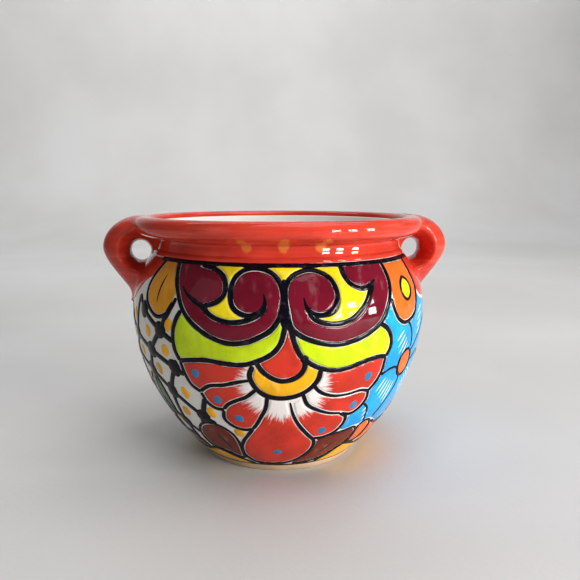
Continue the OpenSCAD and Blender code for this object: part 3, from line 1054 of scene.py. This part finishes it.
def wall_distance(r, z):
    """Reads the table of distances between its points."""
    i = np.clip((r - TABLE_R[0]) / TABLE_STEP, 0, len(TABLE_R) - 1.001)
    k = np.clip((z - TABLE_Z[0]) / TABLE_STEP, 0, len(TABLE_Z) - 1.001)
    i0, k0 = i.astype(int), k.astype(int)
    u, v = i - i0, k - k0
    low = WALL_TABLE[i0, k0] * (1 - u) + WALL_TABLE[i0 + 1, k0] * u
    high = WALL_TABLE[i0, k0 + 1] * (1 - u) + WALL_TABLE[i0 + 1, k0 + 1] * u
    return low * (1 - v) + high * v


def soft_min(a, b, size):
    """The smaller of two fields, with the corner between them filled to a fillet."""
    h = np.maximum(size - np.abs(a - b), 0) / size
    return np.minimum(a, b) - h * h * size / 4


WIDEST_Z = RIM_Z - 19  # where the ear stands out furthest
EAR_TOP = RIM_Z + 0.3
EAR = join(bezier([89.3, TAIL_Z], [92.5, TAIL_Z + 11], [REACH_X, RIM_Z - 28.5], [REACH_X, WIDEST_Z]),
           bezier([REACH_X, WIDEST_Z], [REACH_X, RIM_Z - 9.5], [LIP_R + 9, RIM_Z + 0.6],
                  [LIP_R - ROUND, EAR_TOP]))
ROOT_X = NECK_R - 12
HALF_W = 22.0  # half the ear's width round the pot
EYE = (85.2, 126.8)  # how far out the eye's middle is, and how high
EYE_R = 6
FILLET = 4.5


def handle_field(x, y, z, side):
    """Distance to a handle's skin: an ear that flows into the pot, with an eye through it."""
    tip = np.interp(z, EAR[:, 1], EAR[:, 0])
    up = np.clip((z - TAIL_Z) / (WIDEST_Z - TAIL_Z), 0, 1)
    over = np.clip((z - RIM_Z + 7.5) / 8.3, 0, 0.999)
    half = np.maximum(2, HALF_W * np.sin(up * pi / 2) ** 0.6) * np.sqrt(1 - over ** 2)
    across = np.abs(y) / half
    out = np.maximum(x - ROOT_X, 0) / (tip - ROOT_X)
    ear = ((across ** 2.5 + out ** 2.5) ** 0.4 - 1) * np.minimum(half, tip - ROOT_X) * 0.9
    ear = np.maximum(ear, np.maximum(TAIL_Z - z, z - RIM_Z - 0.4))
    r = np.hypot(x, y) - wobble(np.degrees(np.arctan2(side * x, -y)), np.minimum(z, RIM_Z))
    wall = wall_distance(r, z)
    body = soft_min(ear, wall + 0.15, FILLET)
    hole = EYE_R + 9.6 * (y / HALF_W) ** 2 - np.hypot(x - EYE[0], z - EYE[1])
    body = -soft_min(-body, -hole, 2.0)
    body = np.maximum(body, -(wall + 1.0))
    mouth = np.minimum(LIP_R - ROUND - r, z - RIM_Z + ROUND)
    body = np.maximum(np.maximum(body, mouth), ear - 4.2)
    return -soft_min(-body, EAR_TOP - z, 0.8)


class VASE_OT_handles(bpy.types.Operator):
    """Pulls the two ear-shaped handles and luts them to the lip and the shoulder"""
    bl_idname = "vase.handles"
    bl_label = "Handles"

    def execute(self, context):
        for name, side in (("right_handle", 1), ("left_handle", -1)):
            points, faces = surface_net(lambda x, y, z: handle_field(x, y, z, side),
                                        (68, -30, TAIL_Z - 3), (REACH_X + 3, 30, RIM_Z + 3), 0.6)
            handle = make_mesh(f"glazed_{name}", points * [side * MM, MM, MM], faces[:, ::side], "red")
            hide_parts(name)
        return {"FINISHED"}


class VASE_OT_scrolls(bpy.types.Operator):
    """Paints the maroon scrolls and the yellow between them"""
    bl_idname = "vase.scrolls"
    bl_label = "Scrolls"

    def execute(self, context):
        paint("left_scroll", "maroon", outline(
            ("left_scroll", 0, 24), ("left_crescent", 0, 6), ("left_head", 6, 0),
            extra=[(-35, NECK_LINE), (-47.5, NECK_LINE)]), 1)
        paint("right_scroll", "maroon", outline(
            ("right_scroll", 0, 23), ("right_crescent", 0, 7), ("right_head", 4, 0),
            extra=[(18.8, NECK_LINE), (39.5, NECK_LINE)]), 2)
        paint("left_yellow", "yellow", outline(
            ("left_head", 0, 6), ("left_crescent", 6, 0), ("left_scroll", 24, 16),
            extra=[(-14, NECK_LINE), (-34, NECK_LINE)]), 3)
        paint("right_yellow", "yellow", outline(
            ("right_head", 0, 4), ("right_crescent", 7, 0), ("right_scroll", 23, 15),
            extra=[(7, NECK_LINE), (18.8, NECK_LINE)]), 4)
        paint("centre_yellow", "yellow", outline(
            ("left_scroll", 16, 14), ("right_scroll", 13, 15),
            extra=[(6, NECK_LINE), (-12, NECK_LINE)]), 5)
        trail("scroll_lines", ["left_scroll", "left_crescent", "left_head", "right_scroll",
                               "right_crescent", "right_head"])
        trail("scroll_wedge", ["wedge"], 5 * MM, 0.6 * MM)
        return {"FINISHED"}


class VASE_OT_leaves(bpy.types.Operator):
    """Paints the lime leaves, the red drop, the amber crescent and the small leaves by the foot"""
    bl_idname = "vase.leaves"
    bl_label = "Leaves"

    def execute(self, context):
        fine = context.scene.vase_sizes.fine_width
        paint("left_leaf", "lime", outline(
            ("left_scroll", 3, 11), ("left_leaf_low", 9, 0), ("left_leaf", 4, 0)), 6)
        paint("right_leaf", "lime", outline(
            ("right_scroll", 4, 10), ("drop", 1, 4), ("right_leaf_low", 7, 0), ("right_leaf", 4, 0)), 7)
        paint("drop", "drop", outline("drop", ("left_leaf_low", 5, 9)), 8)
        paint("crescent", "amber", outline("crescent", ("right_leaf_low", 5, 7), ("drop", 5, 11)), 9)
        paint("left_brown_leaf", "brown", outline("brown_left"), 10, 1.3)
        paint("right_brown_leaf", "brown", outline("brown_right", ("petal_4", 8, 4)), 11, 1.2)
        paint("orange_leaf", "orange", outline("orange_leaf"), 12, 1.2)
        paint("far_brown_leaf", "brown", outline("far_leaf"), 13, 1.2)
        paint("green_leaf", "green", outline("green_leaf"), 14, 1.0)
        trail("leaf_lines", ["left_leaf", "left_leaf_low", "right_leaf", "right_leaf_low"])
        trail("flower_heart_lines", ["drop", "crescent"], 2.9 * MM)
        trail("small_leaf_lines", ["brown_left", "brown_right", "orange_leaf", "far_leaf",
                                   "green_leaf"], 1.9 * MM)
        trail("leaf_ribs", list(RIBS), fine, 0.35 * MM)
        return {"FINISHED"}


class VASE_OT_petals(bpy.types.Operator):
    """Paints the seven red petals, brushed out to white, with a blue dot on each"""
    bl_idname = "vase.petals"
    bl_label = "Petals"

    def execute(self, context):
        shapes = [
            outline(("left_leaf_low", 0, 4), ("crescent", 0, 1), "petal_1_low", "petal_1_tip"),
            outline(("petal_1_low", 4, 0), ("crescent", 1, 2), "petal_2_low", "petal_2_tip"),
            outline(("petal_2_low", 4, 0), ("crescent", 2, 3), "petal_3_right", "petal_3_tip"),
            outline(("crescent", 3, 5), "petal_4", ("petal_3_right", 4, 0)),
            outline("petal_5_top", "petal_5_tip", ("petal_4", 4, 0)),
            outline("petal_6_top", "petal_6_tip", ("petal_5_top", 4, 0)),
            outline(("right_leaf_low", 0, 5), ("crescent", 8, 6), "petal_6_top", "petal_7_tip"),
        ]
        for number, shape in enumerate(shapes, 1):
            paint(f"petal_{number}", "petal", shape, 20 + number)
        trail("petal_lines", [name for name in LINES if name.startswith("petal_")], 2.3 * MM)
        dot = context.scene.vase_sizes.dot / MM
        dab("blue_dots", "dot_blue", BLUE_DOTS, dot, dot * 1.1, 0.5)
        dab("leaf_tip", "black", [(3.3, 79.3)], 4.4, 4.4, 0.7)
        return {"FINISHED"}


class VASE_OT_sides(bpy.types.Operator):
    """Paints the lattice side, the blue side, the long petals and the red under the handles"""
    bl_idname = "vase.sides"
    bl_label = "Sides"

    def execute(self, context):
        dot = context.scene.vase_sizes.dot / MM
        paint("ochre_petal", "ochre", outline(
            ("left_scroll", 0, 2), "ochre_petal", extra=[(-56.8, NECK_LINE), (-47.5, NECK_LINE)]), 30)
        paint("orange_petal", "orange", outline("orange_petal", ("right_scroll", 0, 2)), 31)
        # Thick, because these two lie on other coats
        paint("petal_eye", "yellow", outline("eye_ring"), 32, 0.8, step=0.4, uneven=0.1, thick=2)
        paint("orange_oval", "orange", outline("oval_ring"), 33, 0.7, step=0.4, uneven=0.1, thick=2)
        fill_side("blue_side", "blue", outline(
            ("side_hem", 5, 0), ("orange_leaf", 2, 0), ("brown_right", 3, 2), ("petal_5_tip", 3, 1),
            ("petal_6_tip", 3, 0), "petal_7_tip", ("right_leaf", 4, 0), ("right_scroll", 4, 3),
            ("orange_petal", 0, 7), ("right_patch", 2, 6)), 34, step=0.7)
        for seed, side, edge in ((35, "left", -57.3), (36, "right", 58.5)):
            top = to_arc([(np.sign(edge) * 90, PATCH_LINE), (edge, PATCH_LINE)])
            fill_side(f"{side}_red_patch", "red", np.vstack([top, outline(f"{side}_patch")]), seed, 0.2)
        fill_side("left_hem", "amber", outline("left_strip", extra=[(-20, HEM_LINE), (-90, HEM_LINE)]),
                  37, 1.0)
        fill_side("right_hem", "amber", outline(("right_strip", 8, 0), extra=[(18, HEM_LINE),
                                                                              (90, HEM_LINE)]), 38, 1.0)
        fill_side("blue_hem", "orange", outline(("right_strip", 8, 4), ("orange_leaf", 4, 3), "side_hem"),
                  39, 1.3)
        trail("side_lines", ["ochre_petal", "orange_petal", "left_strip", "right_strip", "side_hem"],
              2.4 * MM)
        trail("ring_lines", ["eye_ring", "oval_ring"], 1.8 * MM, 0.8 * MM)
        trail("blue_lines", ["blue_petal", "blue_fold", "blue_rib", "blue_tendril", "side_petal",
                             "side_rib", "side_loop"], 1.9 * MM, 0.5 * MM)
        brush("pale_strokes", "pale", FANS, 2.0, 0.36)
        trail("lattice_lines", LATTICE, 3.5 * MM)
        dab("lattice_knots", "black", KNOTS, 10, 10.5, 0.7)
        dab("ochre_dots", "amber", OCHRE_DOTS, dot * 1.1, dot * 1.3, 0.5)
        trail("base_line", [[(a, 5.4) for a in range(-92, 93, 8)]], 1.7 * MM, 0.35 * MM)
        return {"FINISHED"}


class VASE_OT_stage(bpy.types.Operator):
    """Lays the floor, hangs the lights and sets the camera"""
    bl_idname = "vase.stage"
    bl_label = "Floor, lights and camera"

    def execute(self, context):
        scene = context.scene
        sweep = join(np.array([[-4, 0], [1.3, 0]]), bezier((1.3, 0), (1.8, 0), (2, 0.2), (2, 0.7), 24),
                     np.array([[2, 0.7], [2, 2.4]]))
        points, faces = [], []
        for y, z in sweep:
            points += [(-4, y, z), (4, y, z)]
        for i in range(len(sweep) - 1):
            faces.append([2 * i, 2 * i + 1, 2 * i + 3, 2 * i + 2])
        mesh = bpy.data.meshes.new("floor")
        mesh.from_pydata(points, [], faces)
        mesh.shade_smooth()
        s = Shader("pale_floor")
        cloud = s.noise(s.place(), 3, 3)
        shade = s.blend(s.step(cloud, 0.3, 0.7), (0.6, 0.59, 0.575), (0.66, 0.65, 0.64))
        mesh.materials.append(s.finish(shade, 0.55 + cloud * 0.1, [(s.noise(s.place(), 300, 3), 0.0001)]))
        floor = bpy.data.objects.new("floor", mesh)
        scene.collection.objects.link(floor)

        def panel(name, place, target, size, power, tint=(1, 1, 1)):
            light = bpy.data.lights.new(name, "AREA")
            light.shape = "RECTANGLE"
            light.size, light.size_y = size
            light.energy = power
            light.color = tint
            lamp = bpy.data.objects.new(name, light)
            lamp.location = place
            lamp.rotation_euler = (Vector(target) - Vector(place)).to_track_quat("-Z", "Y").to_euler()
            scene.collection.objects.link(lamp)

        middle = (0, 0, 0.08)
        window_r = 1.42
        for column, heading in enumerate((37, 50, 66)):
            for row, height in enumerate((0.16, 0.42)):
                place = (window_r * sin(radians(heading)), -window_r * cos(radians(heading)), height)
                panel(f"window_pane_{column}_{row}", place, middle, (0.17, 0.16), 4.4, (1, 0.985, 0.96))
        panel("top_box", (0.3, -0.2, 1.5), middle, (1.3, 1.0), 10)
        panel("left_fill", (-1.3, -0.7, 0.9), middle, (0.9, 0.9), 1.0, (0.93, 0.96, 1))
        panel("wall_wash", (0, 0.9, 1.9), (0, 2, 0.5), (2.4, 0.6), 26, (0.96, 0.98, 1))
        world = bpy.data.worlds.new("room")
        world.use_nodes = True
        world.node_tree.nodes["Background"].inputs[0].default_value = (0.86, 0.9, 0.95, 1)
        world.node_tree.nodes["Background"].inputs[1].default_value = 0.17
        scene.world = world

        camera = bpy.data.cameras.new("camera")
        camera.lens = 37.74
        camera.sensor_width = 36
        eye = bpy.data.objects.new("camera", camera)
        heading, down = radians(6.1), radians(9.28)
        forward = Vector((sin(heading) * cos(down), cos(heading) * cos(down), -sin(down)))
        eye.location = (-0.0336, -0.3838, 0.163)
        eye.rotation_euler = forward.to_track_quat("-Z", "Y").to_euler()
        scene.collection.objects.link(eye)
        scene.camera = eye
        scene.view_settings.view_transform = "Standard"
        return {"FINISHED"}


class VASE_PT_panel(bpy.types.Panel):
    """Lists the vase's sizes, colours and pieces"""
    bl_idname = "VASE_PT_panel"
    bl_label = "Painted Pottery Vase"
    bl_space_type = "VIEW_3D"
    bl_region_type = "UI"
    bl_category = "Vase"

    def draw(self, context):
        for group in (context.scene.vase_sizes, context.scene.vase_colours):
            for name in group.__annotations__:
                self.layout.prop(group, name)
        for operator in OPERATORS:
            self.layout.operator(operator.bl_idname)


OPERATORS = (VASE_OT_bowl, VASE_OT_collar, VASE_OT_handles, VASE_OT_scrolls, VASE_OT_leaves,
             VASE_OT_petals, VASE_OT_sides, VASE_OT_stage)
CLASSES = (VaseSizes, VaseColours, *OPERATORS, VASE_PT_panel)


def register():
    for cls in CLASSES:
        bpy.utils.register_class(cls)
    bpy.types.Scene.vase_sizes = PointerProperty(type=VaseSizes)
    bpy.types.Scene.vase_colours = PointerProperty(type=VaseColours)


def unregister():
    del bpy.types.Scene.vase_colours
    del bpy.types.Scene.vase_sizes
    for cls in reversed(CLASSES):
        bpy.utils.unregister_class(cls)


def main():
    register()
    for operator in OPERATORS:
        group, name = operator.bl_idname.split(".")
        getattr(getattr(bpy.ops, group), name)()


if __name__ == "__main__":
    main()
